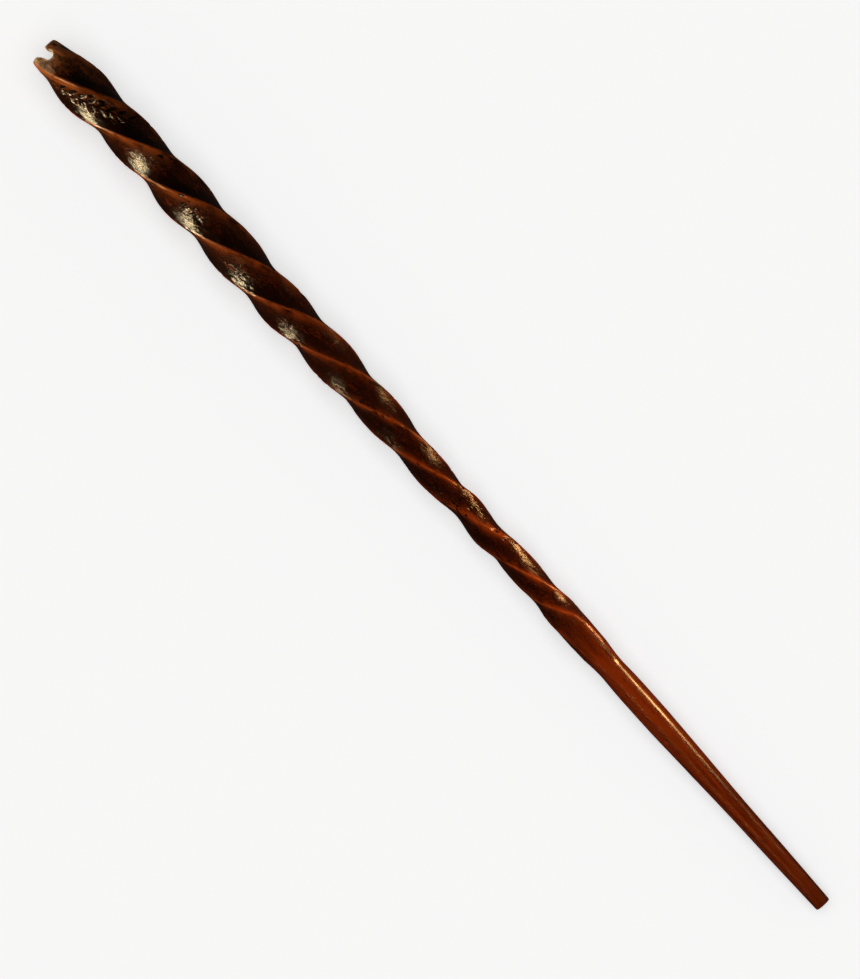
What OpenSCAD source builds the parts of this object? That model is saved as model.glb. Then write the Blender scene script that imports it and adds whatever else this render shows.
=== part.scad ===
// Magic wand: a left-hand twisted handle with four ridges, which runs out into a plain tapered shaft.
// It is a resin casting over a steel rod that spacers keep in the middle.
// The wand lies on the ground plane z = 0 along X, with its butt at -X and its tip at +X.
// The origin is on the ground, below the middle of the wand.

/* [Wand] */
// Length from the butt to the tip
wand_length = 368; // [300:1:420]
// Greatest width of the handle over opposite ridges
handle_d = 16.5; // [14:0.1:20]
// Diameter of the plain shaft where the twist has run out
shaft_d = 9; // [8:0.1:11]
// Diameter at the tip
tip_d = 5.4; // [5.2:0.1:7]
// Rounding of the tip's edge
tip_round = 0.5; // [0.2:0.1:0.8]

/* [Butt] */
// Diameter of the bite's round inner end
bite_d = 3.2; // [2.6:0.1:3.8]
// How far the prong over the bite's mouth hooks down past the round end's top
bite_hook = 0.75; // [0.4:0.05:1.2]
// Slope of the bite's lower edge, from its round end to its mouth
bite_flare = 34; // [24:1:44]
// Slant of the butt's end face, as a length for each unit across
butt_slant = 0.12; // [0:0.01:0.15]

/* [Core] */
// Diameter of the steel rod
rod_d = 3; // [2:0.1:3]
// Distance from the butt to the rod's inner end
rod_start = 24; // [18:1:40]
// Radial gap between the rod's hole and the rod
rod_gap = 0.05; // [0.02:0.01:0.1]
// Length of the plug that closes the rod's hole at the tip
plug_length = 12; // [6:1:20]
// Length of each spacer along the rod
collar_length = 5; // [3:0.5:8]
// Wall of the spacer nearest the butt
butt_collar_wall = 2.6; // [1.5:0.1:3]
// Wall of the spacer where the twist narrows
middle_collar_wall = 1.4; // [1:0.1:1.8]
// Wall of the spacer nearest the tip
tip_collar_wall = 0.7; // [0.4:0.1:0.8]

/* [Hidden] */
$fn = 64;

handle_r = handle_d / 2;
shaft_r = shaft_d / 2;
tip_r = tip_d / 2;
rod_r = rod_d / 2;
bore_r = rod_r + rod_gap;
rod_end = wand_length - plug_length;
fit_gap = 0.02; // between a spacer or the plug and the casting

// Stations along the wand are written for this length and stretch with wand_length.
drawn_length = 368;
stretch = wand_length / drawn_length;

// Where a face of the twisted square stands upright, one quarter turn after another.
quarter_stations = [6, 30.5, 53, 76.5, 101, 123.5, 147, 171, 194, 214, 235];
// The last part turn, where the twist slows down and stops: [station, quarter turns].
run_out = [[242, 10.5], [250, 10.85], [263, 11], [drawn_length, 11]];
turns = concat(
    [[-12, -0.75]],
    [for (i = [0:len(quarter_stations) - 1]) [quarter_stations[i], i]],
    run_out
);

// Radius of the ridges: [station, radius]. It swells a little with each turn, as cut by hand.
ridge_radius = [
    [0, 0.66 * handle_r], [6, 0.85 * handle_r], [12, 0.945 * handle_r], [20, handle_r],
    [42, 0.92 * handle_r], [65, 0.98 * handle_r], [89, 0.97 * handle_r], [114, 0.915 * handle_r],
    [135, 0.89 * handle_r], [157, 0.80 * handle_r], [180, 0.68 * handle_r],
    [204, 1.11 * shaft_r], [224, 1.11 * shaft_r], [247, 1.165 * shaft_r], [264, 1.055 * shaft_r],
    [285, shaft_r], [drawn_length, tip_r]
];

// Roundness of the section: 1 is a square with sharp corners, 2 is a circle.
roundness = [[0, 1.5], [8, 1.32], [16, 1.22], [150, 1.2], [190, 1.34], [240, 1.42], [252, 1.55],
    [272, 1.95], [282, 2],
    [drawn_length, 2]];

// Sideways wander of the middle of the wand: [station, y].
wander = [
    [0, -2], [4, -1.6], [10, -1], [18, -0.75], [25, -0.5], [33, 0.1], [45, 0.1], [52, 0.35],
    [62, 0.05], [75, 0.25], [88, 0], [110, -0.15], [125, 0.3], [160, 0.25], [190, -0.35],
    [198, 0.25], [208, -0.25], [218, 0.4], [250, 0.15], [290, -0.05], [drawn_length, -0.45]
];

// The ridges stand unevenly round the section in one stretch of the narrow part.
uneven_at = 205;
uneven_spread = 20;
uneven_angle = 18;

// Rings of the body: close together in the twist, further apart in the shaft.
around = 32;
twist_end = 285;
twist_step = 3;
shaft_step = 6;
stations = concat(
    [0, 0.6, 1.6],
    [for (s = [3:twist_step:twist_end]) s],
    [for (s = [twist_end + shaft_step:shaft_step:drawn_length - 4]) s]
);
ring_x = concat(
    [for (s = stations) s * stretch],
    [wand_length - tip_round, wand_length - 0.3 * tip_round, wand_length]
);
tip_ring_inset = [0, 0.3 * tip_round, tip_round];
butt_ring_inset = [0.7, 0.2, 0];
last = len(ring_x) - 1;

// Index of the last knot at or before x
function knot_before(k, x, i = 0) = i >= len(k) - 2 || x < k[i + 1][0] ? i : knot_before(k, x, i + 1);
function rise(k, i) = (k[i + 1][1] - k[i][1]) / (k[i + 1][0] - k[i][0]);
// Slope at a knot: the harmonic mean of the slopes on both sides, and flat at a peak
function knot_slope(k, i) =
    i == 0 ? rise(k, 0)
    : i == len(k) - 1 ? rise(k, i - 1)
    : rise(k, i - 1) * rise(k, i) <= 0 ? 0
    : 2 * rise(k, i - 1) * rise(k, i) / (rise(k, i - 1) + rise(k, i));
// Value of a smooth curve through the knots, at station s
function smooth(k, s) =
    let (
        i = knot_before(k, s),
        h = k[i + 1][0] - k[i][0],
        t = (s - k[i][0]) / h
    )
    (2 * t ^ 3 - 3 * t ^ 2 + 1) * k[i][1]
    + (t ^ 3 - 2 * t ^ 2 + t) * h * knot_slope(k, i)
    + (3 * t ^ 2 - 2 * t ^ 3) * k[i + 1][1]
    + (t ^ 3 - t ^ 2) * h * knot_slope(k, i + 1);

// Share of the ridge radius that the section reaches at an angle from a ridge
function section(angle, p) = (abs(cos(angle)) ^ p + abs(sin(angle)) ^ p) ^ (-1 / p);
function bump(s) = exp(-((s - uneven_at) / uneven_spread) ^ 2);

// One point of a ring, as [y, z]. Angle 0 is the first ridge, and directions go from +Z towards +Y.
function ring_point(s, inset, angle) =
    let (
        radius = smooth(ridge_radius, s) * section(angle, smooth(roundness, s)) - inset,
        turn = 45 + 90 * smooth(turns, s) + angle + uneven_angle * bump(s) * cos(angle)
    )
    [smooth(wander, s) + radius * sin(turn), radius * cos(turn)];

function inset_of(i) =
    i < len(butt_ring_inset) ? butt_ring_inset[i]
    : i > last - len(tip_ring_inset) ? tip_ring_inset[i - last + len(tip_ring_inset) - 1]
    : 0;
function ring(i) = [
    for (j = [0:around - 1])
        ring_point(ring_x[i] / stretch, inset_of(i), 360 * j / around)
];
rings = [for (i = [0:last]) ring(i)];

// The butt's end face slants, and the slant fades out over the first rings.
slant_fade = 12;
function slanted_x(i, y) =
    ring_x[i] + butt_slant * (handle_r / 2 - y) * max(0, 1 - ring_x[i] / slant_fade);

body_points = concat(
    [for (i = [0:last]) for (p = rings[i]) [slanted_x(i, p[0]), p[0], p[1]]],
    [[slanted_x(0, smooth(wander, 0)), smooth(wander, 0), 0]],
    [[wand_length, smooth(wander, drawn_length), 0]]
);
butt_middle = (last + 1) * around;
tip_middle = butt_middle + 1;
function at(i, j) = i * around + j % around;
body_faces = concat(
    [for (i = [0:last - 1]) for (j = [0:around - 1]) [at(i, j), at(i + 1, j), at(i + 1, j + 1)]],
    [for (i = [0:last - 1]) for (j = [0:around - 1]) [at(i, j), at(i + 1, j + 1), at(i, j + 1)]],
    [for (j = [0:around - 1]) [butt_middle, at(0, j), at(0, j + 1)]],
    [for (j = [0:around - 1]) [tip_middle, at(last, j + 1), at(last, j)]]
);

// How the wand lies: on the two rings, one on each side of its balance point, that carry it.
balance_x = 153 * stretch;
function depth(i) = -min([for (p = rings[i]) p[1]]);
depths = [for (i = [0:last]) depth(i)];
butt_side = [for (i = [0:last]) if (ring_x[i] < balance_x) i];
tip_side = [for (i = [0:last]) if (ring_x[i] > balance_x) i];
function slope_between(i, k) = (depths[i] - depths[k]) / (ring_x[k] - ring_x[i]);
supports = [
    for (i = butt_side) for (k = tip_side)
        [depths[i] - slope_between(i, k) * (balance_x - ring_x[i]), slope_between(i, k)]
];
deepest = max([for (s = supports) s[0]]);
lie_angle = atan([for (s = supports) if (s[0] == deepest) s[1]][0]);
lift = max([for (i = [0:last]) ring_x[i] * sin(lie_angle) + depths[i] * cos(lie_angle)]);
side_middle = (max([for (r = rings) for (p = r) p[0]]) + min([for (r = rings) for (p = r) p[0]])) / 2;

module laid() {
    translate([-wand_length * cos(lie_angle) / 2, -side_middle, lift])
        rotate([0, lie_angle, 0])
            children();
}

// A round bar along X
module bar(from, to, r) {
    translate([from, 0, 0])
        rotate([0, 90, 0])
            cylinder(r = r, h = to - from);
}

// Where the spacers sit, measured to their middles
butt_collar_x = rod_start + 16 * stretch;
middle_collar_x = 160 * stretch;
tip_collar_x = 300 * stretch;

module collar_seat(x, wall) {
    bar(x - collar_length / 2 - fit_gap, x + collar_length / 2 + fit_gap, rod_r + wall + fit_gap);
}

module collar(x, wall) {
    laid()
        difference() {
            bar(x - collar_length / 2, x + collar_length / 2, rod_r + wall);
            bar(x - collar_length, x + collar_length, bore_r);
        }
}

// The bite goes right through the butt from top to bottom.
bite_at = [3, -1.7];
bite_r = bite_d / 2;
bite_reach = 14;
hook_y = bite_r - bite_hook;
bite_low = [bite_r * sin(bite_flare), -bite_r * cos(bite_flare)]; // where the lower edge leaves the round end
module bite() {
    translate([bite_at[0], bite_at[1], -handle_d])
        linear_extrude(2 * handle_d) {
            circle(d = bite_d);
            polygon([
                [0, 0],
                [-sqrt(bite_r * bite_r - hook_y * hook_y), hook_y],
                [-bite_reach, hook_y],
                bite_low - bite_reach * [cos(bite_flare), sin(bite_flare)],
                bite_low,
            ]);
        }
}

module twisted_body() {
    color("#5a1f0c")
        laid()
            difference() {
                polyhedron(body_points, body_faces, convexity = 6);
                bite();
                bar(rod_start - rod_gap, wand_length + 1, bore_r);
                collar_seat(butt_collar_x, butt_collar_wall);
                collar_seat(middle_collar_x, middle_collar_wall);
                collar_seat(tip_collar_x, tip_collar_wall);
            }
}

module core_rod() {
    color("#8d9096")
        laid()
            bar(rod_start, rod_end, rod_r);
}

module butt_collar() {
    color("#d8c9a4")
        collar(butt_collar_x, butt_collar_wall);
}

module middle_collar() {
    color("#d8c9a4")
        collar(middle_collar_x, middle_collar_wall);
}

module tip_collar() {
    color("#d8c9a4")
        collar(tip_collar_x, tip_collar_wall);
}

module tip_plug() {
    color("#4a1a0b")
        laid()
            bar(rod_end, wand_length, bore_r - fit_gap);
}

twisted_body();
core_rod();
butt_collar();
middle_collar();
tip_collar();
tip_plug();
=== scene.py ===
"""Magic wand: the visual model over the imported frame.

The casting is built again as a dense mesh, with the cut marks, pits, worn ridges and chipped bite that
the CAD leaves out. It follows the CAD body's curves, except that its twist ends in a fuller last bulge
and a tighter neck. The plug, rod and spacers keep their CAD meshes. Shapes are worked out in
millimetres along the wand's own axis and placed in metres.
"""

import math

import bpy
import numpy as np
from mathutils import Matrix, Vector


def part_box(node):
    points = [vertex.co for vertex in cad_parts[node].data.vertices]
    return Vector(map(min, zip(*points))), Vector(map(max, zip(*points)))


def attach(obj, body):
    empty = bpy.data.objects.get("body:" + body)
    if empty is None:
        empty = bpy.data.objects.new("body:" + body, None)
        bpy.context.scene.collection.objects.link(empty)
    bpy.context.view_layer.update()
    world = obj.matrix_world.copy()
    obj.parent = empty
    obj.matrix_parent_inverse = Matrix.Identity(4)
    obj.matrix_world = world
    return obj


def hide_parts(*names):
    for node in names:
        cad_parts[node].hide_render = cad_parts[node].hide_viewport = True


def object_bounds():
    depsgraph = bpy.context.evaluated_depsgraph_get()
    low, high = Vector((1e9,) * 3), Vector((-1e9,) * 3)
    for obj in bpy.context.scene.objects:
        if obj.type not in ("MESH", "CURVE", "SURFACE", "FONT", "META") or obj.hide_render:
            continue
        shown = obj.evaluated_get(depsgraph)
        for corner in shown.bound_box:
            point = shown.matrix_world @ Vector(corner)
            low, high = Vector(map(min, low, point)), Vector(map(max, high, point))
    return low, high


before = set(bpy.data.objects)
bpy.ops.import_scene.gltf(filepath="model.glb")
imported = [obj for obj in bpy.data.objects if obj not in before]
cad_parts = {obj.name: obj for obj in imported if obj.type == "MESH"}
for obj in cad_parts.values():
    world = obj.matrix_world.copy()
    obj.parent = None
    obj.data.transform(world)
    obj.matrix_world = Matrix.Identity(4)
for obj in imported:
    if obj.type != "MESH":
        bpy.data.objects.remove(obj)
cad_low, cad_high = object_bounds()

MM = 0.001
LENGTH = 368.0
TIP_ROUND = 0.5

# The curves of the casting: [station along the wand, value]. As far as 224 mm they are the CAD body's.
QUARTER_STATIONS = [6, 30.5, 53, 76.5, 101, 123.5, 147, 171, 194, 214, 235]
TURNS = [
    [-12, -0.75],
    *[[station, i] for i, station in enumerate(QUARTER_STATIONS)],
    [242, 10.5], [248, 10.88], [259, 11.07], [268, 11.15], [LENGTH, 11.15],
]
HANDLE_R = 8.25
SHAFT_R = 4.5
TIP_R = 2.7
RIDGE_RADIUS = [
    [0, 0.66 * HANDLE_R], [6, 0.85 * HANDLE_R], [12, 0.945 * HANDLE_R], [20, HANDLE_R],
    [42, 0.92 * HANDLE_R], [65, 0.98 * HANDLE_R], [89, 0.97 * HANDLE_R], [114, 0.915 * HANDLE_R],
    [135, 0.89 * HANDLE_R], [157, 0.80 * HANDLE_R], [180, 0.68 * HANDLE_R],
    [204, 1.11 * SHAFT_R], [224, 1.11 * SHAFT_R], [238, 1.12 * SHAFT_R], [250, 1.275 * SHAFT_R],
    [258, 1.19 * SHAFT_R], [267, 0.98 * SHAFT_R], [275, SHAFT_R], [285, SHAFT_R],
    [305, 0.905 * SHAFT_R], [328, 0.765 * SHAFT_R], [346, 0.705 * SHAFT_R], [LENGTH, TIP_R],
]
ROUNDNESS = [
    [0, 1.5], [8, 1.32], [16, 1.22], [150, 1.2], [190, 1.34], [240, 1.42], [252, 1.5],
    [265, 1.72], [278, 2], [LENGTH, 2],
]
WANDER = [
    [0, -2], [4, -1.6], [10, -1], [18, -0.75], [25, -0.5], [33, 0.1], [45, 0.1], [52, 0.35],
    [62, 0.05], [75, 0.25], [88, 0], [110, -0.15], [125, 0.3], [160, 0.25], [190, -0.35],
    [198, 0.25], [208, -0.25], [218, 0.4], [250, 0.15], [290, -0.05], [LENGTH, -0.45],
]
UNEVEN_AT, UNEVEN_SPREAD, UNEVEN_ANGLE = 205, 20, math.radians(18)
BUTT_SLANT, SLANT_FADE = 0.12, 12
# A facet's middle stands about this far out, as a share of the ridges' radius.
FACET_REACH = 0.88

# The surface lies this far inside its curves, so that the model keeps within the CAD's box.
INSET = 0.03
# Wear of the ridges' edges, as a share of the radius.
RIDGE_WEAR = 0.035

# The rod's hole and the seats of the spacers: station of each seat's middle and its radius.
ROD_START = 24
BORE_R = 1.55
COLLAR_HALF = 2.52
SEATS = [[40, 4.12], [160, 2.92], [300, 2.22]]
BUTT_COLLAR_AT = SEATS[0][0]


# ---------------------------------------------------------------- curves and noise

def smooth_curve(knots, s):
    """A smooth curve through the knots, flat at its peaks, at each station in s."""
    x, y = np.array(knots, float).T
    h = np.diff(x)
    rise = np.diff(y) / h
    before, after = rise[:-1], rise[1:]
    same_way = before * after > 0
    total = np.where(same_way, before + after, 1)
    slope = np.concatenate([[rise[0]], np.where(same_way, 2 * before * after / total, 0), [rise[-1]]])
    i = np.clip(np.searchsorted(x, s, side="right") - 1, 0, len(h) - 1)
    t = (s - x[i]) / h[i]
    return (
        (2 * t**3 - 3 * t**2 + 1) * y[i]
        + (t**3 - 2 * t**2 + t) * h[i] * slope[i]
        + (3 * t**2 - 2 * t**3) * y[i + 1]
        + (t**3 - t**2) * h[i] * slope[i + 1]
    )


def smoothstep(low, high, value):
    t = np.clip((value - low) / (high - low), 0, 1)
    return t * t * (3 - 2 * t)


LATTICE = np.random.default_rng(7).uniform(-1, 1, (32, 32, 32))


def noise(points, octaves=1):
    """Smooth noise from -1 to 1 at an (N, 3) array of points, one lattice cell per unit."""
    total, size = 0, 0
    for octave in range(octaves):
        p = points * 2**octave + 11.3 * octave
        cell = np.floor(p).astype(int)
        f = p - cell
        f = f * f * (3 - 2 * f)
        value = 0
        for corner in np.ndindex(2, 2, 2):
            weight = np.prod(np.where(corner, f, 1 - f), axis=1)
            value = value + weight * LATTICE[tuple(((cell + corner) % 32).T)]
        total = total + value / 2**octave
        size += 1 / 2**octave
    return total / size


# ---------------------------------------------------------------- the shape of the casting

def turn_of(s):
    """Direction of the first ridge, from +Z towards +Y."""
    return math.pi / 4 + math.pi / 2 * smooth_curve(TURNS, s)


def uneven(s):
    return UNEVEN_ANGLE * np.exp(-(((s - UNEVEN_AT) / UNEVEN_SPREAD) ** 2))


def surface_radius(s, angle):
    p = smooth_curve(ROUNDNESS, s)
    across, along = np.hypot(np.cos(angle), RIDGE_WEAR), np.hypot(np.sin(angle), RIDGE_WEAR)
    share = (across**p + along**p) ** (-1 / p)
    return smooth_curve(RIDGE_RADIUS, s) * share - INSET


def direction(s, angle):
    return turn_of(s) + angle + uneven(s) * np.cos(angle)


def angle_from_direction(s, way):
    """The angle from the first ridge, where a point stands in that direction from the middle."""
    angle = way - turn_of(s)
    for _ in range(3):
        angle = way - turn_of(s) - uneven(s) * np.cos(angle)
    return angle


def beside_ridge(s, angle):
    """Distance round the surface from the nearest ridge, less than 0 on its flank towards the tip."""
    off = (angle + math.pi / 4) % (math.pi / 2) - math.pi / 4
    return off * smooth_curve(RIDGE_RADIUS, s)


def ridge_distance(s, angle):
    return np.abs(beside_ridge(s, angle))


def twist_coordinates(s, angle):
    """Coordinates that run along the ridges: station, and two that go round with the twist."""
    r = smooth_curve(RIDGE_RADIUS, s)
    return np.stack([s, r * np.cos(angle), r * np.sin(angle)], axis=-1)


def twist_amount(s):
    """1 on the carved handle and 0 on the plain shaft."""
    return 1 - smoothstep(235, 275, s)


# ---------------------------------------------------------------- pits, cuts and marks

def unrolled(s, way, at_s, at_way):
    """Distances along the wand and round it from a place on the surface."""
    r = smooth_curve(RIDGE_RADIUS, np.array([at_s], float))[0] * FACET_REACH
    round_off = (way - at_way + math.pi) % (2 * math.pi) - math.pi
    return s - at_s, r * round_off


def leaf(x, y, tilt, half_length, half_width):
    """A gouge shaped as a pointed leaf: 1 along its middle, 0 outside it."""
    u = x * math.cos(tilt) + y * math.sin(tilt)
    v = -x * math.sin(tilt) + y * math.cos(tilt)
    edge = half_width * np.clip(1 - (u / half_length) ** 2, 0.001, 1)
    return np.clip(1.25 - np.abs(v) / edge, 0, 1) * (np.abs(u) < half_length)


def dot(x, y, radius):
    return 1 - smoothstep(0.6 * radius, 1.25 * radius, np.hypot(x, y))


SPRIG_START, SPRIG_END, SPRIG_SLOPE = 12.5, 38.0, math.radians(27)
SPRIG_FACET_SHARE = 0.60
LEAF_PITCH, LEAF_OFFSET, LEAF_LEAN = 3.1, 1.35, math.radians(36)
BUD_COUNT = 9


def sprig_way(s):
    """The sprig's stem winds up the first facet, a little above the facet's middle."""
    return turn_of(s) - math.pi + SPRIG_FACET_SHARE * math.pi / 2


def sprig_parts():
    """Leaves and buds of the sprig: (station, direction, half length, half width or None, tilt)."""
    rng = np.random.default_rng(3)
    for i, at_s in enumerate(np.arange(SPRIG_START + 1.5, SPRIG_END - 2, LEAF_PITCH)):
        for side in (1, -1):
            station = at_s + (0 if side > 0 else 0.45 * LEAF_PITCH) + rng.uniform(-0.3, 0.3)
            away = side * LEAF_OFFSET * rng.uniform(0.85, 1.2)
            reach = smooth_curve(RIDGE_RADIUS, np.array([station]))[0] * FACET_REACH
            tilt = SPRIG_SLOPE + side * LEAF_LEAN * rng.uniform(0.8, 1.2)
            middle_way = sprig_way(np.array([station]))[0] + away / math.cos(SPRIG_SLOPE) / reach
            yield station, middle_way, rng.uniform(1.35, 1.85), rng.uniform(0.50, 0.68), tilt
    for _ in range(BUD_COUNT):
        station = rng.uniform(SPRIG_START, SPRIG_END)
        middle_way = sprig_way(np.array([station]))[0] + rng.choice([-1, 1]) * rng.uniform(0.34, 0.46)
        yield station, middle_way, rng.uniform(0.3, 0.48), None, 0


def marks(s, way):
    """Depth share of the carved sprig: a thin stem, leaf-shaped gouges and round buds."""
    found = np.zeros_like(s)
    near = (s > SPRIG_START - 1) & (s < SPRIG_END + 1)
    _, stem_y = unrolled(s[near], way[near], s[near].mean(), sprig_way(s[near]))
    off = np.abs(stem_y) * math.cos(SPRIG_SLOPE)
    ends = smoothstep(SPRIG_START, SPRIG_START + 1, s[near]) * smoothstep(0, 1.5, SPRIG_END - s[near])
    found[near] = 0.7 * np.exp(-((off / 0.2) ** 2)) * ends
    for at_s, at_way, half_length, half_width, tilt in sprig_parts():
        near = np.abs(s - at_s) < 3
        x, y = unrolled(s[near], way[near], at_s, at_way)
        if half_width is None:
            shape = dot(x, y, half_length)
        else:
            shape = leaf(x, y, tilt, half_length, half_width)
        found[near] = np.maximum(found[near], shape)
    return found


TICK_START, TICK_PITCH, TICK_COUNT, TICK_WAY = 66.5, 1.15, 8, math.radians(-18)


def ticks(s, way):
    """A row of short cross cuts on the handle."""
    rng = np.random.default_rng(21)
    found = np.zeros_like(s)
    for i in range(TICK_COUNT):
        at_s = TICK_START + i * TICK_PITCH + rng.uniform(-0.15, 0.15)
        half = rng.uniform(0.5, 0.95)
        near = np.abs(s - at_s) < 2
        x, y = unrolled(s[near], way[near], at_s, TICK_WAY + rng.uniform(-0.04, 0.04))
        shape = np.exp(-((x / 0.26) ** 2) - (y / half) ** 4)
        found[near] = np.maximum(found[near], shape)
    return found


PIT_GROUP_PITCH = 9.5
TOP_PIT_GROUPS = [(52, 40), (70, -30), (104, -20), (122, -35), (150, -25), (195, 5)]
LONE_PITS = 190


def pit_places():
    """Wormholes in loose groups and alone: (station, direction, length, width, depth)."""
    rng = np.random.default_rng(5)
    groups = [(s, rng.uniform(-math.pi, math.pi)) for s in np.arange(45, 232, PIT_GROUP_PITCH)]
    groups += [(s, math.radians(degrees)) for s, degrees in TOP_PIT_GROUPS]
    for group_s, group_way in groups:
        for _ in range(rng.integers(5, 11)):
            yield (
                group_s + rng.normal(0, 3.4), group_way + rng.normal(0, 0.28),
                rng.uniform(0.3, 1.0), rng.uniform(0.16, 0.34), rng.uniform(0.35, 1),
            )
    for _ in range(LONE_PITS):
        yield (
            rng.uniform(36, 240), rng.uniform(-math.pi, math.pi),
            rng.uniform(0.3, 0.9), rng.uniform(0.15, 0.3), rng.uniform(0.25, 0.8),
        )


def pits(s, way):
    found = np.zeros_like(s)
    order = np.argsort(s)
    ordered = s[order]
    for at_s, at_way, long, wide, deep in pit_places():
        first, last = np.searchsorted(ordered, [at_s - 4, at_s + 4])
        near = order[first:last]
        x, y = unrolled(s[near], way[near], at_s, at_way)
        shape = deep * np.exp(-((x / long) ** 2 + (y / wide) ** 2) ** 1.5)
        found[near] = np.maximum(found[near], shape)
    return found


MARK_DEPTH, TICK_DEPTH, PIT_DEPTH = 0.55, 0.35, 0.42
WAVE_DEPTH, FACET_DEPTH, FLUTE_DEPTH, NICK_DEPTH = 0.10, 0.05, 0.07, 0.30
NICK_WIDTH = 0.7


def details(s, angle):
    """How far the hand work lies below the smooth casting, and how hollow each place is."""
    way = direction(s, angle)
    r = smooth_curve(RIDGE_RADIUS, s)
    round_trip = np.stack([s, r * np.sin(way), r * np.cos(way)], axis=-1)
    along_twist = twist_coordinates(s, angle)
    carved = twist_amount(s)
    ridge = np.exp(-((ridge_distance(s, angle) / NICK_WIDTH) ** 2)) * carved
    waves = WAVE_DEPTH * noise(round_trip * [0.16, 0.22, 0.22]) * (0.25 + 0.75 * carved)
    facets = FACET_DEPTH * noise(round_trip * [0.5, 0.6, 0.6], 2) * (0.15 + 0.85 * carved)
    flutes = FLUTE_DEPTH * noise(along_twist * [0.035, 0.75, 0.75], 2) * carved
    nicks = NICK_DEPTH * smoothstep(0.25, 0.8, noise(round_trip * [0.55, 0.9, 0.9] + 40, 2)) * ridge
    mark, tick, pit = marks(s, way), ticks(s, way), pits(s, way)
    depth = (
        MARK_DEPTH * mark + TICK_DEPTH * tick + PIT_DEPTH * pit + nicks
        + np.abs(waves) + np.abs(facets) + np.abs(flutes)
    )
    return depth, np.clip(mark + tick + pit, 0, 1)


# ---------------------------------------------------------------- mesh of the casting

AROUND = 156
FINE_STEP, TWIST_STEP, PLAIN_STEP = 0.5, 0.65, 1.4
FINE_END, TWIST_END = 215, 286


def ring_angles():
    """Angles round a ring from the first ridge, closer together near each ridge."""
    t = np.arange(AROUND // 4) / (AROUND // 4)
    quarter = t - 0.65 * np.sin(2 * math.pi * t) / (2 * math.pi)
    return np.concatenate([(k + quarter) * math.pi / 2 for k in range(4)])


def slanted(x, y):
    """Stations near the butt, moved by the slant of its end face."""
    return x + BUTT_SLANT * (HANDLE_R / 2 - y) * np.clip(1 - x / SLANT_FADE, 0, None)


# Stations of the first rings, and how far the butt's worn edge lies inside the outline there.
BUTT_EDGE = [[0.05, 0.55], [0.15, 0.32], [0.35, 0.15], [0.7, 0.05], [1.15, 0]]


def outer_rings(angles):
    """Rings of the outside from the butt's edge to the tip's flat, as an array (rings, around, 3)."""
    edge, edge_inset = np.array(BUTT_EDGE).T
    body = np.concatenate([
        np.arange(1.6, FINE_END, FINE_STEP),
        np.arange(FINE_END, TWIST_END, TWIST_STEP),
        np.arange(TWIST_END, LENGTH - TIP_ROUND - PLAIN_STEP / 2, PLAIN_STEP),
    ])
    bend = np.linspace(0, math.pi / 2, 6)
    tip = LENGTH - TIP_ROUND + TIP_ROUND * np.sin(bend) - 0.02
    tip_inset = TIP_ROUND * (1 - np.cos(bend))
    s = np.concatenate([edge, body, tip])
    inset = np.concatenate([edge_inset, 0 * body, tip_inset])
    s_grid, angle_grid = np.meshgrid(s, angles, indexing="ij")
    flat_s, flat_angle = s_grid.ravel(), angle_grid.ravel()
    depth, _ = details(flat_s, flat_angle)
    fade = smoothstep(0, 2, LENGTH - flat_s)
    radius = surface_radius(flat_s, flat_angle) - depth * fade - np.repeat(inset, len(angles))
    way = direction(flat_s, flat_angle)
    y = smooth_curve(WANDER, flat_s) + radius * np.sin(way)
    z = radius * np.cos(way)
    points = np.stack([slanted(flat_s, y), y, z], axis=-1)
    return points.reshape(len(s), len(angles), 3)


def butt_cap_rings(rim):
    """Rings that close the butt, rough as a broken end, from the middle out to the rim."""
    middle = rim.mean(axis=0)
    rings = []
    for share in np.linspace(0.04, 0.97, 22):
        ring = middle + (rim - middle) * share
        rough = noise(np.stack([0 * ring[:, 0], ring[:, 1], ring[:, 2]], axis=-1) * 1.1 + 5, 3)
        ring[:, 0] += 0.35 * (1 + rough) * (1 - share**6)
        rings.append(ring)
    return np.array(rings)


def bore_rings(angles):
    """Rings of the rod's hole, from the tip inwards, with the seats of the spacers."""
    profile = [(LENGTH - 0.02, BORE_R)]
    for middle, seat_r in reversed(SEATS):
        outer, inner = middle + COLLAR_HALF, middle - COLLAR_HALF
        profile += [(outer, BORE_R), (outer, seat_r), (inner, seat_r), (inner, BORE_R)]
    profile += [(ROD_START - 0.05, BORE_R), (ROD_START - 0.05, 0.3)]
    way = direction(np.full(len(angles), LENGTH), angles)
    return np.array([
        np.stack([np.full(len(angles), x), r * np.sin(way), r * np.cos(way)], axis=-1)
        for x, r in profile
    ])


def grid_faces(rings, around):
    i, j = np.meshgrid(np.arange(rings - 1), np.arange(around), indexing="ij")
    here, right = i * around + j, i * around + (j + 1) % around
    return np.stack([here, right, right + around, here + around], axis=-1).reshape(-1, 4)


def closed_mesh(name, rings):
    """A closed mesh over a stack of rings, with an n-gon at each end."""
    count, around, _ = rings.shape
    faces = grid_faces(count, around).tolist()
    faces.append(list(range(around))[::-1])
    faces.append(list(range((count - 1) * around, count * around)))
    mesh = bpy.data.meshes.new(name)
    mesh.from_pydata(rings.reshape(-1, 3).tolist(), [], faces)
    mesh.update()
    return mesh


def new_object(name, mesh):
    piece = bpy.data.objects.new(name, mesh)
    bpy.context.scene.collection.objects.link(piece)
    return piece


# The bite in the butt, where the CAD has it: a round inner end, a hooked prong over it and a slanted
# lower edge.
BITE_MIDDLE = np.array([3.0, -1.7])
BITE_R, BITE_HOOK, BITE_FLARE, BITE_REACH = 1.6, 0.75, math.radians(34), 9
BITE_LIP = 0.35
BITE_HALF_TALL, BITE_RINGS = 11, 61


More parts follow.
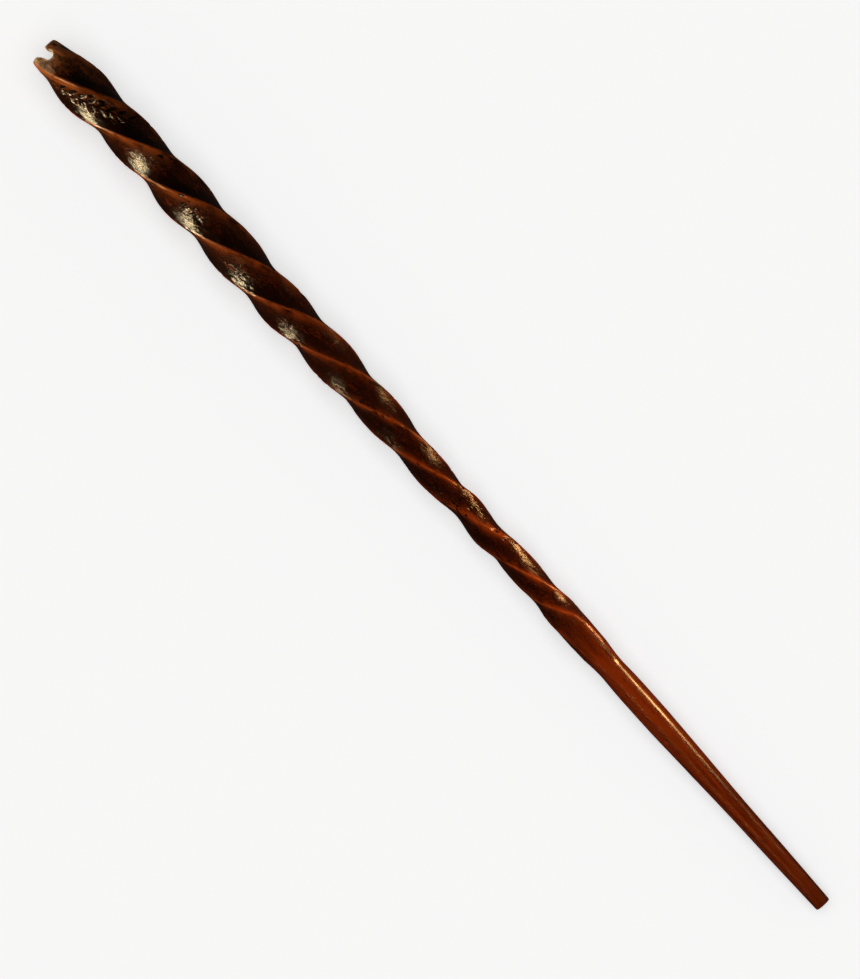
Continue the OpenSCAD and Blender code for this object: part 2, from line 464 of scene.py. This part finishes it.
def bite_outline():
    """Outline of the bite in the top view and its outward directions, without the chipping."""
    hook_y = BITE_R - BITE_HOOK
    first, last = math.pi - math.asin(hook_y / BITE_R), BITE_FLARE - math.pi / 2
    arc = np.linspace(first, last, 40)
    outward = np.stack([np.cos(arc), np.sin(arc)], axis=-1)
    round_end = BITE_R * outward
    reach = np.linspace(BITE_REACH, 0, 20, endpoint=False)[:, None]
    hook = round_end[0] + np.array([-1.0, 0.0]) * reach
    low = round_end[-1] - np.array([math.cos(BITE_FLARE), math.sin(BITE_FLARE)]) * reach[::-1]
    points = BITE_MIDDLE + np.concatenate([hook, round_end, low])
    ways = np.concatenate([np.tile([0.0, 1.0], (20, 1)), outward, np.tile(outward[-1], (20, 1))])
    return points, ways


def height_at(points):
    """Height of the casting's upper surface over points in the top view."""
    angles = np.linspace(-math.pi, math.pi, 361)
    heights = []
    for x, y in points:
        s = np.full(len(angles), np.clip(x, 0.5, LENGTH))
        radius = surface_radius(s, angles)
        way = direction(s, angles)
        ring_y = smooth_curve(WANDER, s) + radius * np.sin(way)
        ring_z = radius * np.cos(way)
        close = np.abs(ring_y - y) < 0.35
        heights.append(ring_z[close].max() if close.any() else 0)
    return np.array(heights)


def bite_cutter():
    """A closed solid of the bite, with chipped walls and an edge that widens to a worn lip."""
    points, ways = bite_outline()
    top = height_at(points)
    rings = []
    for z in np.linspace(-BITE_HALF_TALL, BITE_HALF_TALL, BITE_RINGS):
        spots = np.column_stack([points, np.full(len(points), z)])
        chips = 0.32 * noise(spots * [0.8, 0.8, 0.5] + 3, 2) + 0.13 * noise(spots * 2.2 + 9, 2)
        lip = BITE_LIP * smoothstep(-0.8, 0.5, abs(z) - top)
        moved = points + ways * (chips + lip)[:, None]
        rings.append(np.column_stack([moved, np.full(len(points), z)]))
    return new_object("bite_cutter", closed_mesh("bite_cutter", np.array(rings)))


def applied(piece):
    """The piece's mesh with its modifiers applied."""
    evaluated = piece.evaluated_get(bpy.context.evaluated_depsgraph_get())
    return bpy.data.meshes.new_from_object(evaluated)


def recalculate_outward(piece):
    bpy.context.view_layer.objects.active = piece
    piece.select_set(True)
    bpy.ops.object.mode_set(mode="EDIT")
    bpy.ops.mesh.select_all(action="SELECT")
    bpy.ops.mesh.normals_make_consistent(inside=False)
    bpy.ops.object.mode_set(mode="OBJECT")
    piece.select_set(False)


def coordinates(mesh):
    found = np.zeros(len(mesh.vertices) * 3)
    mesh.vertices.foreach_get("co", found)
    return found.reshape(-1, 3)


def store(mesh, name, values):
    """Keeps one number, or one vector, for each vertex, for the material to read."""
    kind = "FLOAT" if values.ndim == 1 else "FLOAT_VECTOR"
    key = "value" if values.ndim == 1 else "vector"
    mesh.attributes.new(name, kind, "POINT").data.foreach_set(key, values.ravel().astype(np.float32))


def bare_resin(p, s, below):
    """1 where the cream resin shows: the broken butt, the chipped bite and the end's rubbed edge."""
    from_bite = np.hypot(p[:, 0] - BITE_MIDDLE[0], p[:, 1] - BITE_MIDDLE[1]) - BITE_R
    broken = smoothstep(0.15, 0.5, below) * (1 - smoothstep(8, 12, s))
    patchy = 0.6 * noise(p * 0.9 + 17, 3)
    chipped = 1 - smoothstep(0.1, 0.9, from_bite + patchy)
    from_end = p[:, 0] - BUTT_SLANT * (HANDLE_R / 2 - p[:, 1])
    rubbed = 0.35 * (1 - smoothstep(0.0, 0.7, from_end + patchy))
    raw = np.clip(np.maximum(broken, chipped * (p[:, 0] > BITE_MIDDLE[0] - 0.8)), 0, 1)
    return np.maximum(raw, rubbed)


RIDGE_LINE = 0.34
# On the handle the flank of each ridge towards the butt gets painted shade, and the rubbed colour stays
# on the flank towards the tip, a painted light; both fade out between these stations.
ONE_SIDED_START, ONE_SIDED_END = 100, 170
WORN_WIDTH, WORN_NARROWING = 1.7, 0.75
SHADE_START, SHADE_END = 3.0, 5.6


def mark_surface(mesh):
    """Writes what the material needs to know about each place on the casting."""
    p = coordinates(mesh)
    s = np.clip(p[:, 0], 0, LENGTH)
    y = p[:, 1] - smooth_curve(WANDER, s)
    way = np.arctan2(y, p[:, 2])
    angle = angle_from_direction(s, way)
    radius = np.hypot(y, p[:, 2])
    depth, hollow = details(s, angle)
    below = surface_radius(s, angle) - depth - radius
    ridge = ridge_distance(s, angle)
    beside = beside_ridge(s, angle)
    one_sided = 1 - smoothstep(ONE_SIDED_START, ONE_SIDED_END, s)
    shaded_flank = smoothstep(0.1, 0.9, beside) * one_sided
    worn_width = WORN_WIDTH - WORN_NARROWING * smoothstep(110, 170, s)
    store(mesh, "ridge", np.exp(-((ridge / RIDGE_LINE) ** 2)) * twist_amount(s))
    # Closeness to a ridge, for the rubbed wear; on the handle it is cleared on the flank towards the
    # butt, so the lighter colour is partly a painted light on the other flank.
    store(mesh, "shoulder", np.exp(-ridge / worn_width) * (1 - shaded_flank) * twist_amount(s))
    # Painted shade: near-black colour on the flank of each ridge towards the butt, close to the ridge,
    # on the handle.
    store(mesh, "shaded", shaded_flank * (1 - smoothstep(SHADE_START, SHADE_END, beside)))
    store(mesh, "hollow", hollow)
    store(mesh, "raw", bare_resin(p, s, below))
    store(mesh, "along", s / LENGTH)
    store(mesh, "twist", twist_coordinates(s, angle))


def wand_axis():
    """A point on the wand's own axis at station 0, and its directions along, across and up."""
    butt = sum((Vector(c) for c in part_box("butt_collar")), Vector()) / 2
    tip = sum((Vector(c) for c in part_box("tip_collar")), Vector()) / 2
    along = (tip - butt).normalized()
    across = Vector((0, 1, 0))
    up = along.cross(across)
    return butt - along * BUTT_COLLAR_AT * MM, along, across, up


def place(mesh):
    """Moves a mesh from millimetres along the wand's axis to its place in the frame."""
    start, along, across, up = (np.array(v) for v in wand_axis())
    p = coordinates(mesh) * MM
    moved = start + p[:, :1] * along + p[:, 1:2] * across + p[:, 2:] * up
    mesh.vertices.foreach_set("co", moved.ravel())
    mesh.update()


SHARP_ANGLE = math.radians(48)


def casting():
    """The whole casting: outside, butt end and rod's hole in one closed mesh, with the bite cut out."""
    angles = ring_angles()
    outer = outer_rings(angles)
    rings = np.concatenate([butt_cap_rings(outer[0]), outer, bore_rings(angles)])
    piece = new_object("wand_casting", closed_mesh("wand_casting", rings))
    cutter = bite_cutter()
    recalculate_outward(piece)
    recalculate_outward(cutter)
    cut = piece.modifiers.new("bite", "BOOLEAN")
    cut.operation = "DIFFERENCE"
    cut.solver = "MANIFOLD"
    cut.object = cutter
    piece.data = applied(piece)
    piece.modifiers.clear()
    bpy.data.objects.remove(cutter)
    mark_surface(piece.data)
    place(piece.data)
    piece.data.shade_smooth()
    piece.data.set_sharp_from_angle(angle=SHARP_ANGLE)
    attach(piece, "root")
    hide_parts("twisted_body")
    return piece


# ---------------------------------------------------------------- materials

class Graph:
    """Short calls for building a material's nodes."""

    def __init__(self, name):
        self.material = bpy.data.materials.new(name)
        self.material.use_nodes = True
        self.tree = self.material.node_tree
        self.tree.nodes.clear()
        self.shader = self.add("ShaderNodeBsdfPrincipled")
        output = self.add("ShaderNodeOutputMaterial")
        self.tree.links.new(self.shader.outputs[0], output.inputs["Surface"])

    def add(self, kind, inputs=None, **settings):
        node = self.tree.nodes.new(kind)
        for key, value in settings.items():
            setattr(node, key, value)
        for key, value in (inputs or {}).items():
            self.feed(node.inputs[key], value)
        return node

    def feed(self, socket, value):
        if isinstance(value, bpy.types.NodeSocket):
            self.tree.links.new(value, socket)
        else:
            socket.default_value = value

    def set(self, **values):
        for key, value in values.items():
            self.feed(self.shader.inputs[key.replace("_", " ")], value)

    def attribute(self, name, output="Fac"):
        return self.add("ShaderNodeAttribute", attribute_name=name).outputs[output]

    def place(self, scale, source=None):
        if source is None:
            source = self.add("ShaderNodeTexCoord").outputs["Object"]
        return self.add("ShaderNodeMapping", {"Vector": source, "Scale": scale}).outputs[0]

    def noise(self, where, detail=4, roughness=0.55, distortion=0):
        return self.add("ShaderNodeTexNoise", {
            "Vector": where, "Scale": 1, "Detail": detail,
            "Roughness": roughness, "Distortion": distortion,
        }).outputs["Fac"]

    def math(self, operation, a, b):
        node = self.add("ShaderNodeMath", operation=operation)
        self.feed(node.inputs[0], a)
        self.feed(node.inputs[1], b)
        return node.outputs[0]

    def range(self, value, low, high, to_low=0.0, to_high=1.0):
        return self.add("ShaderNodeMapRange", {
            "Value": value, "From Min": low, "From Max": high, "To Min": to_low, "To Max": to_high,
        }, interpolation_type="SMOOTHSTEP").outputs[0]

    def mix(self, share, a, b):
        node = self.add("ShaderNodeMix", data_type="RGBA")
        self.feed(node.inputs["Factor"], share)
        for socket, value in ((node.inputs[6], a), (node.inputs[7], b)):
            self.feed(socket, (*value, 1) if isinstance(value, tuple) else value)
        return node.outputs[2]

    def ramp(self, value, stops):
        node = self.add("ShaderNodeValToRGB", {"Fac": value})
        elements = node.color_ramp.elements
        while len(elements) < len(stops):
            elements.new(0.5)
        for element, (position, colour) in zip(elements, stops):
            element.position = position
            element.color = (*colour, 1)
        return node.outputs["Color"]

    def bump(self, height, distance, strength=1.0):
        inputs = {"Height": height, "Distance": distance, "Strength": strength}
        return self.add("ShaderNodeBump", inputs).outputs[0]


LACQUER_IOR = 1.52
LACQUER_TINT = (1.0, 0.88, 0.68, 1)
RELIEF = 0.00014  # depth of the finest relief, in metres

# Colours of the stain along the wand, from butt to tip: (share of the length, colour).
LIGHT_STAIN = [
    (0.0, (0.58, 0.19, 0.045)), (0.022, (0.40, 0.105, 0.020)), (0.05, (0.14, 0.030, 0.005)),
    (0.10, (0.12, 0.021, 0.0028)), (0.45, (0.075, 0.0095, 0.0012)), (0.60, (0.080, 0.0090, 0.0010)),
    (0.72, (0.135, 0.0155, 0.0011)), (1.0, (0.125, 0.016, 0.0015)),
]
DARK_STAIN = [
    (0.0, (0.34, 0.10, 0.022)), (0.025, (0.12, 0.028, 0.005)), (0.07, (0.024, 0.005, 0.001)),
    (0.45, (0.009, 0.0013, 0.0003)), (0.64, (0.022, 0.0028, 0.0004)),
    (0.74, (0.060, 0.0065, 0.0006)), (1.0, (0.060, 0.0075, 0.0007)),
]
# Rubbed wear beside the ridges; on the handle only on the flank towards the tip, where it is partly a
# painted light.
RUBBED_WEAR_AND_LIGHT = [
    (0.0, (0.34, 0.080, 0.011)), (0.35, (0.22, 0.036, 0.004)), (0.60, (0.28, 0.034, 0.003)),
]
# Near-black in patches away from the ridges, and painted shade over the flank of each ridge towards the
# butt on the handle.
DARK_FACET_AND_SHADE_COLOUR = (0.006, 0.0013, 0.0004)
# Painted shade on the flank of each ridge towards the butt.
FLANK_SHADE_COLOUR = (0.007, 0.0014, 0.0004)
WORN_RIDGE = (0.32, 0.058, 0.008)
PORE_DIRT = (0.012, 0.004, 0.002)
HOLLOW_DIRT = (0.004, 0.002, 0.0015)
DIRTY_CREAM, CLEAN_CREAM = (0.36, 0.155, 0.045), (0.78, 0.62, 0.40)


def stained_resin():
    """Brown stain and gloss lacquer over cream resin, cast from hand-cut wood."""
    g = Graph("stained_resin")
    raw, along = g.attribute("raw"), g.attribute("along")
    twist = g.attribute("twist", "Vector")
    grain = g.noise(g.place((60, 950, 950)), 6, 0.6, 0.3)
    streak = g.noise(g.place((0.06, 0.9, 0.9), twist), 4, 0.55)
    mottle = g.noise(g.place((150, 260, 260)), 5, 0.6)
    speck = g.noise(g.place((1500, 2400, 2400)), 3, 0.7)
    dirt = pore_dirt(g)
    g.set(
        Base_Color=resin_colour(g, along, raw, grain, streak, mottle, speck, dirt),
        Roughness=resin_roughness(g, along, raw, mottle),
        IOR=LACQUER_IOR,
        Specular_Tint=LACQUER_TINT,
        Normal=g.bump(resin_relief(g, along, twist, grain, streak, speck, dirt), RELIEF),
    )
    return g.material


def pore_dirt(g):
    """1 in the dark pores, which crowd together in places."""
    pores = g.noise(g.place((330, 1250, 1250)), 4, 0.6)
    crowd = g.range(g.noise(g.place((55, 110, 110)), 2), 0.35, 0.65, 0.10, -0.02)
    return g.range(g.math("SUBTRACT", pores, crowd), 0.60, 0.68)


def resin_colour(g, along, raw, grain, streak, mottle, speck, dirt):
    """Two stains mixed by the grain, then darkened in patches away from the ridges, given painted shade
    on the flank of each ridge towards the butt and a lighter rubbed colour on the other flank, partly a
    painted light, then worn on the ridges and to the cream resin.
    """
    ridge, shoulder = g.attribute("ridge"), g.attribute("shoulder")
    shaded, hollow = g.attribute("shaded"), g.attribute("hollow")
    plain = g.range(along, 0.62, 0.74)

    shade = g.math("ADD", g.math("MULTIPLY", grain, 0.40), g.math("MULTIPLY", mottle, 0.35))
    shade = g.math("ADD", shade, g.math("MULTIPLY", streak, 0.25))
    long_grain = g.noise(g.place((14, 620, 620)), 4, 0.55)
    shade = g.mix(plain, shade, g.math("ADD", long_grain, 0.02))
    shade = g.math("ADD", shade, g.math("MULTIPLY", speck, 0.35))
    tone = g.range(shade, 0.53, 0.83)
    stain = g.mix(tone, g.ramp(along, DARK_STAIN), g.ramp(along, LIGHT_STAIN))

    # Near-black in patches away from the ridges; the shoulder mask is cleared on the flank towards the
    # butt, so on the handle this is painted shade over that whole flank.
    dark_facet_and_shade = g.math("MULTIPLY", g.range(shoulder, 0.46, 0.16), g.range(mottle, 0.38, 0.50))
    dark_facet_and_shade = g.math("MULTIPLY", dark_facet_and_shade, g.math("SUBTRACT", 1.0, plain))
    dark_facet_and_shade = g.math("MULTIPLY", dark_facet_and_shade, g.range(speck, 0.42, 0.62, 0.97, 0.55))
    stain = g.mix(dark_facet_and_shade, stain, DARK_FACET_AND_SHADE_COLOUR)
    # Painted shade: the flank of each ridge towards the butt, near the ridge, turns near-black on the
    # handle.
    painted_flank_shade = g.math("MULTIPLY", shaded, g.range(mottle, 0.25, 0.6, 0.55, 0.95))
    stain = g.mix(g.math("MULTIPLY", painted_flank_shade, g.range(along, 0.0, 0.05)), stain, FLANK_SHADE_COLOUR)
    worn = g.math("MULTIPLY", ridge, g.range(g.noise(g.place((220, 420, 420)), 4), 0.34, 0.62))
    stain = g.mix(g.math("MULTIPLY", worn, 0.85), stain, WORN_RIDGE)
    # Lighter rubbed colour beside the ridges: wear, and on the handle, where it lies on one flank only,
    # a painted light.
    rubbed = g.math("MULTIPLY", shoulder, g.range(mottle, 0.36, 0.60))
    stain = g.mix(g.math("MULTIPLY", rubbed, 0.85), stain, g.ramp(along, RUBBED_WEAR_AND_LIGHT))
    stain = g.mix(g.math("MULTIPLY", dirt, 0.6), stain, PORE_DIRT)
    stain = g.mix(g.range(hollow, 0.2, 0.5), stain, HOLLOW_DIRT)

    grime = g.range(g.noise(g.place((700, 900, 900)), 4), 0.4, 0.66)
    return g.mix(raw, stain, g.mix(grime, DIRTY_CREAM, CLEAN_CREAM))


def resin_roughness(g, along, raw, mottle):
    """Gloss lacquer, dull on the bare resin and at the butt, and a little duller on the plain shaft."""
    rough = g.range(mottle, 0.3, 0.7, 0.145, 0.235)
    rough = g.math("ADD", rough, g.math("MULTIPLY", raw, 0.3))
    rough = g.math("ADD", rough, g.range(along, 0.035, 0.0, 0.0, 0.5))
    return g.math("ADD", rough, g.range(along, 0.69, 0.75, 0.0, 0.04))


def resin_relief(g, along, twist, grain, streak, speck, dirt):
    """Tool marks and grain on the twist, and fine drawn lines on the plain shaft."""
    ripple = g.noise(g.place((330, 520, 520)), 2, 0.5)
    scrape = g.noise(g.place((0.10, 1.9, 1.9), twist), 3, 0.6)
    drawn = g.noise(g.place((22, 900, 900)), 2, 0.5)
    height = g.math("ADD", g.math("MULTIPLY", ripple, 1.2), g.math("MULTIPLY", streak, 0.5))
    height = g.math("ADD", height, g.math("MULTIPLY", scrape, 0.55))
    height = g.math("ADD", height, g.math("MULTIPLY", speck, 0.35))
    height = g.math("SUBTRACT", height, g.math("MULTIPLY", dirt, 0.4))
    height = g.math("ADD", height, g.math("MULTIPLY", grain, 0.3))
    carved = g.range(along, 0.62, 0.76, 1.0, 0.06)
    return g.math("ADD", g.math("MULTIPLY", height, carved), g.math("MULTIPLY", drawn, 0.10))


def stained_plug():
    """The plug's resin, stained to match and sanded flat with the tip."""
    g = Graph("stained_plug")
    sanding = g.noise(g.place((900, 900, 5200)), 4, 0.6)
    mottle = g.noise(g.place((420, 420, 420)), 4)
    colour = g.mix(g.range(mottle, 0.35, 0.65), (0.035, 0.009, 0.003), (0.13, 0.032, 0.008))
    g.set(
        Base_Color=g.mix(g.range(sanding, 0.6, 0.72), colour, (0.22, 0.07, 0.02)),
        Roughness=g.range(sanding, 0.3, 0.7, 0.34, 0.52),
        Normal=g.bump(sanding, 0.00004, 0.6),
    )
    return g.material


def drawn_steel():
    """Bright drawn steel with lines along the rod and a few rust freckles."""
    g = Graph("drawn_steel")
    lines = g.noise(g.place((30, 9000, 9000)), 4, 0.6)
    rust = g.range(g.noise(g.place((700, 700, 700)), 5, 0.7), 0.62, 0.72)
    metal = g.mix(g.range(lines, 0.35, 0.65), (0.36, 0.37, 0.38), (0.62, 0.63, 0.64))
    g.set(
        Base_Color=g.mix(rust, metal, (0.13, 0.045, 0.018)),
        Metallic=g.math("SUBTRACT", 1.0, rust),
        Roughness=g.range(lines, 0.3, 0.7, 0.24, 0.44),
        Normal=g.bump(lines, 0.00002, 0.5),
    )
    return g.material


def raw_resin():
    """Unpainted cream resin of the spacers, with fine casting bubbles."""
    g = Graph("raw_resin")
    cloud = g.noise(g.place((350, 350, 350)), 4)
    bubbles = g.add("ShaderNodeTexVoronoi", {"Vector": g.place((1400, 1400, 1400))}).outputs["Distance"]
    hole = g.range(bubbles, 0.10, 0.22, 1.0, 0.0)
    cream = g.mix(g.range(cloud, 0.35, 0.65), (0.62, 0.50, 0.32), (0.80, 0.70, 0.50))
    g.set(
        Base_Color=g.mix(hole, cream, (0.33, 0.23, 0.12)),
        Roughness=g.range(cloud, 0.3, 0.7, 0.5, 0.68),
        Normal=g.bump(g.math("SUBTRACT", cloud, hole), 0.00006, 0.7),
    )
    return g.material


def dress(piece, material):
    """Gives a piece one material in place of all its own."""
    piece.data.materials.clear()
    piece.data.materials.append(material)


def dress_cad_node(name, material):
    """Gives a CAD node's own mesh a better material."""
    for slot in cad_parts[name].material_slots:
        slot.material = material


# ---------------------------------------------------------------- studio

FLOOR_HALF = 3.0
FLOOR_BOUNCE, FLOOR_SEEN = (0.40, 0.40, 0.40), (0.86, 0.878, 0.90)
FLOOR_GLOW = 0.51  # lifts the floor for the camera only


def floor():
    ring = np.array([[-1, -1], [1, -1], [1, 1], [-1, 1]]) * FLOOR_HALF
    top = [(*corner, cad_low.z) for corner in ring]
    mesh = bpy.data.meshes.new("floor")
    mesh.from_pydata(top, [], [(0, 1, 2, 3)])
    ground = new_object("floor", mesh)
    g = Graph("pale_floor")
    seen = g.add("ShaderNodeLightPath").outputs["Is Camera Ray"]
    g.set(
        Base_Color=g.mix(seen, FLOOR_BOUNCE, FLOOR_SEEN), Roughness=0.9,
        Specular_IOR_Level=0.1, Emission_Color=(1, 1, 1, 1),
        Emission_Strength=g.math("MULTIPLY", seen, FLOOR_GLOW),
    )
    dress(ground, g.material)
    ground.visible_glossy = False
    return ground


def area_light(name, location, aim, width, height, watts, spread, colour):
    data = bpy.data.lights.new(name, "AREA")
    data.shape = "RECTANGLE"
    data.size, data.size_y = width, height
    data.energy = watts
    data.spread = math.radians(spread)
    data.color = colour
    lamp = bpy.data.objects.new(name, data)
    lamp.location = location
    lamp.rotation_mode = "QUATERNION"
    lamp.rotation_quaternion = (Vector(aim) - Vector(location)).to_track_quat("-Z", "Y")
    lamp.visible_camera = False
    bpy.context.scene.collection.objects.link(lamp)
    return lamp


def light_only(lamp, name, pieces):
    """The lamp lights these pieces and nothing else."""
    group = bpy.data.collections.new(name)
    for piece in pieces:
        group.objects.link(piece)
    lamp.light_linking.receiver_collection = group


SKY_SEEN, SKY_COLOUR = (0.90, 0.90, 0.90, 1), (1.0, 0.86, 0.70, 1)
SKY_FILL, HORIZON_FILL, HORIZON_SHINE = 0.008, 0.6, 0.012
HORIZON_LOW, HORIZON_TOP = 0.15, 0.62  # sine of the height above the horizon


def pale_world():
    """Pale to the camera; to the wand a dim sky over a brighter horizon that fills in its sides."""
    world = bpy.data.worlds.new("studio")
    world.use_nodes = True
    tree = world.node_tree
    tree.nodes.clear()
    path = tree.nodes.new("ShaderNodeLightPath")
    seen = tree.nodes.new("ShaderNodeBackground")
    seen.inputs["Color"].default_value = SKY_SEEN
    fill = tree.nodes.new("ShaderNodeBackground")
    fill.inputs["Color"].default_value = SKY_COLOUR
    where = tree.nodes.new("ShaderNodeTexCoord")
    split = tree.nodes.new("ShaderNodeSeparateXYZ")
    band = tree.nodes.new("ShaderNodeMapRange")
    band.inputs["From Min"].default_value = HORIZON_TOP
    band.inputs["From Max"].default_value = HORIZON_LOW
    soft = tree.nodes.new("ShaderNodeMix")
    soft.data_type = "FLOAT"
    soft.inputs["A"].default_value = HORIZON_SHINE
    soft.inputs["B"].default_value = HORIZON_FILL
    scale = tree.nodes.new("ShaderNodeMath")
    scale.operation = "MULTIPLY_ADD"
    scale.inputs[2].default_value = SKY_FILL
    tree.links.new(where.outputs["Generated"], split.inputs[0])
    tree.links.new(split.outputs["Z"], band.inputs["Value"])
    tree.links.new(path.outputs["Is Diffuse Ray"], soft.inputs["Factor"])
    tree.links.new(band.outputs["Result"], scale.inputs[0])
    tree.links.new(soft.outputs["Result"], scale.inputs[1])
    tree.links.new(scale.outputs[0], fill.inputs["Strength"])
    both = tree.nodes.new("ShaderNodeMixShader")
    output = tree.nodes.new("ShaderNodeOutputWorld")
    tree.links.new(path.outputs["Is Camera Ray"], both.inputs[0])
    tree.links.new(fill.outputs[0], both.inputs[1])
    tree.links.new(seen.outputs[0], both.inputs[2])
    tree.links.new(both.outputs[0], output.inputs["Surface"])
    bpy.context.scene.world = world


WARM = (1.0, 0.84, 0.60)
PALE_GOLD = (1.0, 0.88, 0.64)
DEEP_GOLD = (1.0, 0.56, 0.25)
NEUTRAL = (1.0, 1.0, 1.0)


HANDLE_AIM = Vector((cad_low.x + 0.050, 0, 0.010))
SHAFT_AIM = Vector((cad_low.x + 0.240, 0, 0.005))
TIP_AIM = Vector((cad_low.x + 0.310, 0, 0.004))

# The wand's panels: name, aim, distance, way to the panel, width, height, watts, spread, colour.
GLOSS_PANELS = [
    ("handle_gloss", HANDLE_AIM, 0.7, (-0.25, -0.72, 0.64), 0.10, 0.22, 0.108, 18, PALE_GOLD),
    ("shaft_gloss", SHAFT_AIM, 0.6, (0.15, 0.92, 0.36), 0.07, 0.20, 0.050, 20, DEEP_GOLD),
]
KEY_PANELS = [
    ("handle_key", HANDLE_AIM, 0.8, (-0.20, -0.90, 0.38), 0.16, 0.30, 0.22, 23, WARM),
    ("shaft_key", SHAFT_AIM, 0.9, (0.20, 0.78, 0.59), 0.16, 0.30, 0.28, 20, WARM),
    ("tip_key", TIP_AIM, 0.8, (0.10, -0.60, 0.79), 0.10, 0.30, 0.10, 16, WARM),
]
FLOOR_PANEL_HEIGHT, FLOOR_PANEL_SIZE, FLOOR_PANEL_WATTS = 2.2, 3.4, 34


def wand_panel(name, aim, distance, way, width, height, watts, spread, colour, wand_pieces):
    lamp = area_light(name, aim + distance * Vector(way), aim, width, height, watts, spread, colour)
    light_only(lamp, f"lit_by_{name}", wand_pieces)
    return lamp


def lights(ground, wand_pieces):
    """Small panels make the gloss on the facets, wide ones shape the wand and one lights the floor."""
    for panel in GLOSS_PANELS:
        wand_panel(*panel, wand_pieces).visible_diffuse = False
    for panel in KEY_PANELS:
        wand_panel(*panel, wand_pieces).visible_glossy = False
    floor_panel = area_light(
        "floor_panel", (0, 0, FLOOR_PANEL_HEIGHT), (0, 0, 0),
        FLOOR_PANEL_SIZE, FLOOR_PANEL_SIZE, FLOOR_PANEL_WATTS, 180, NEUTRAL,
    )
    light_only(floor_panel, "lit_by_floor_panel", [ground])


# The camera looks straight down. The wand runs from the upper left to the lower right.
WAND_SLOPE = math.radians(47.83)
CAMERA_HEIGHT = 1.7
VIEW_TALL = 0.3103
SENSOR = 36.0
AIM_BESIDE, AIM_BELOW = 0.0017, 0.0042


def camera():
    data = bpy.data.cameras.new("camera")
    data.sensor_width = SENSOR
    data.lens = SENSOR * (CAMERA_HEIGHT - cad_high.z / 2) / VIEW_TALL
    eye = bpy.data.objects.new("camera", data)
    right = Vector((math.cos(WAND_SLOPE), math.sin(WAND_SLOPE), 0))
    up = Vector((-math.sin(WAND_SLOPE), math.cos(WAND_SLOPE), 0))
    middle = (cad_low + cad_high) / 2
    eye.location = middle - right * AIM_BESIDE - up * AIM_BELOW
    eye.location.z = CAMERA_HEIGHT
    eye.rotation_euler = (0, 0, WAND_SLOPE)
    bpy.context.scene.collection.objects.link(eye)
    bpy.context.scene.camera = eye


body = casting()
dress(body, stained_resin())
dress_cad_node("tip_plug", stained_plug())
dress_cad_node("core_rod", drawn_steel())
spacer_material = raw_resin()
for spacer in ("butt_collar", "middle_collar", "tip_collar"):
    dress_cad_node(spacer, spacer_material)

ground = floor()
pale_world()
lights(ground, [body] + [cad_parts[n] for n in ("tip_plug", "core_rod")])
camera()
bpy.context.scene.view_settings.view_transform = "Standard"
